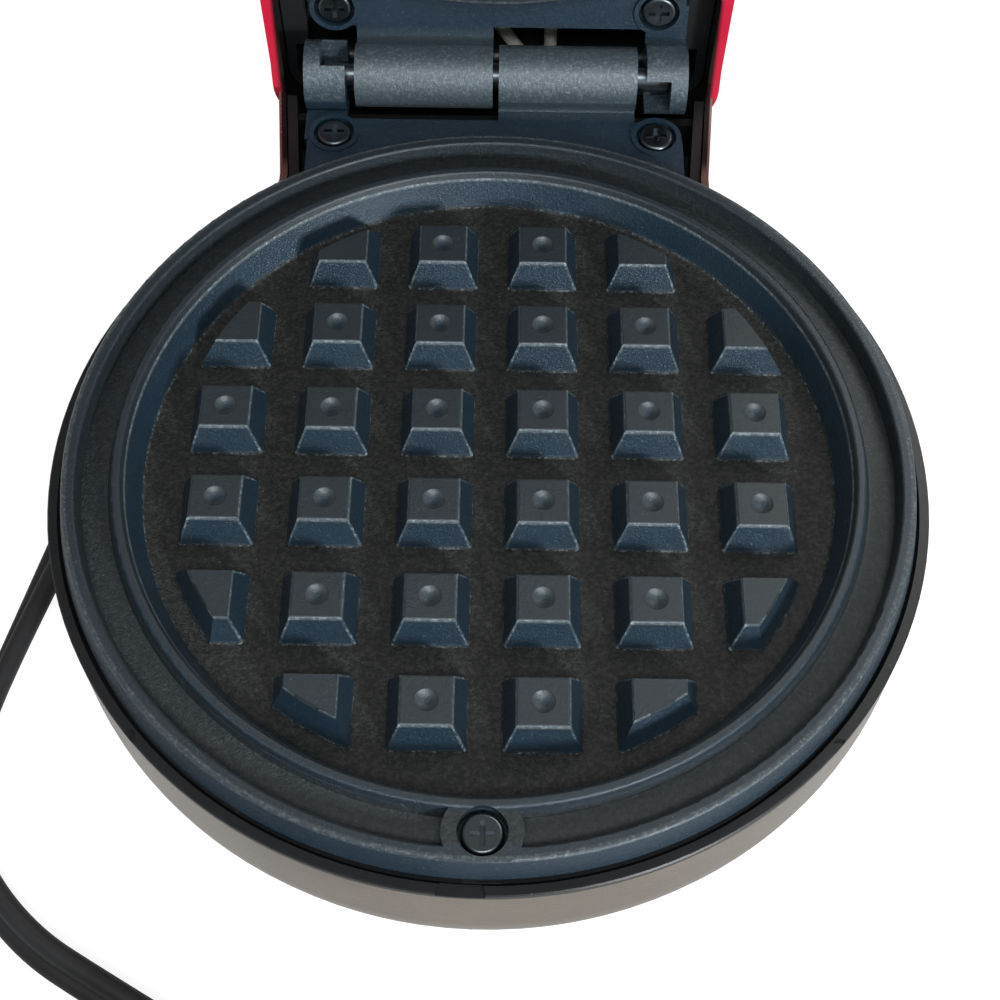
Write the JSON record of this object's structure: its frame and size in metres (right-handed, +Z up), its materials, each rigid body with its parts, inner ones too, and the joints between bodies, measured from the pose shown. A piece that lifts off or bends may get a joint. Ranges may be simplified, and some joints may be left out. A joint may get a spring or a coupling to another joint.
{
  "type": "mini waffle maker",
  "caption": "Round countertop waffle maker standing open, with pegged plates on a pinned hinge, a domed lid with a tab handle, a steel base on feet and a lead with a plug.",
  "frame": {"origin": "on the table under the centre of the lower cooking plate", "axes": "+Z up, +Y towards the hinge, +X to the right when facing the hinge"},
  "size_m": [0.1514, 0.295, 0.1825],
  "materials": {
    "cast_plate": "dark non-stick coat",
    "zinc_screw": "zinc plated",
    "pin_steel": "ground",
    "black_plastic": "fine grain",
    "polished_steel": "polished",
    "red_cover": "glossy",
    "foot_rubber": "matte",
    "element_sheath": "heat darkened",
    "terminal_steel": "plain",
    "clip_steel": "plain",
    "shield_aluminium": "rolled",
    "thermostat_body": "moulded",
    "fuse_sleeve": "woven sleeve",
    "connector_cap": "translucent",
    "wire_cover": "silicone",
    "cord_cover": "satin",
    "plug_moulding": "satin",
    "blade_brass": "plated",
    "lens_plastic": "clear",
    "lamp_glass": "clear"
  },
  "bodies": {
    "base": {"lower_plate": "cast_plate", "lower_plate_screws": "zinc_screw", "hinge_pin": "pin_steel", "base_ring": "black_plastic", "base_shell": "polished_steel", "base_screws": "zinc_screw", "feet": "foot_rubber", "lower_element": "element_sheath", "lower_terminals": "terminal_steel", "lower_element_clip": "clip_steel", "lower_reflector": "shield_aluminium", "lower_reflector_screw": "zinc_screw", "thermostat": "thermostat_body", "thermostat_screws": "zinc_screw", "thermal_fuse": "fuse_sleeve", "wire_connectors": "connector_cap", "base_leads": "wire_cover", "cord_relief": "cord_cover", "cord_clamp": "black_plastic", "cord_clamp_screws": "zinc_screw", "cord_lead": "cord_cover", "cord_coil": "cord_cover", "plug_body": "plug_moulding", "plug_blades": "blade_brass"},
    "lid": {"upper_plate": "cast_plate", "upper_plate_screws": "zinc_screw", "lid_ring": "black_plastic", "lid_shell": "red_cover", "lid_screws": "zinc_screw", "lid_handle": "black_plastic", "lid_handle_screws": "zinc_screw", "indicator_lens": "lens_plastic", "indicator_lamp": "lamp_glass", "upper_element": "element_sheath", "upper_terminals": "terminal_steel", "upper_element_clip": "clip_steel", "upper_reflector": "shield_aluminium", "upper_reflector_screw": "zinc_screw", "lid_leads": "wire_cover"}
  },
  "joints": [
    {"name": "lid_hinge", "type": "hinge", "parent": "base", "child": "lid", "pos_m": [0, 0.0731, 0.0341], "axis": [1, 0, 0], "range_deg": [0, 99]}
  ]
}
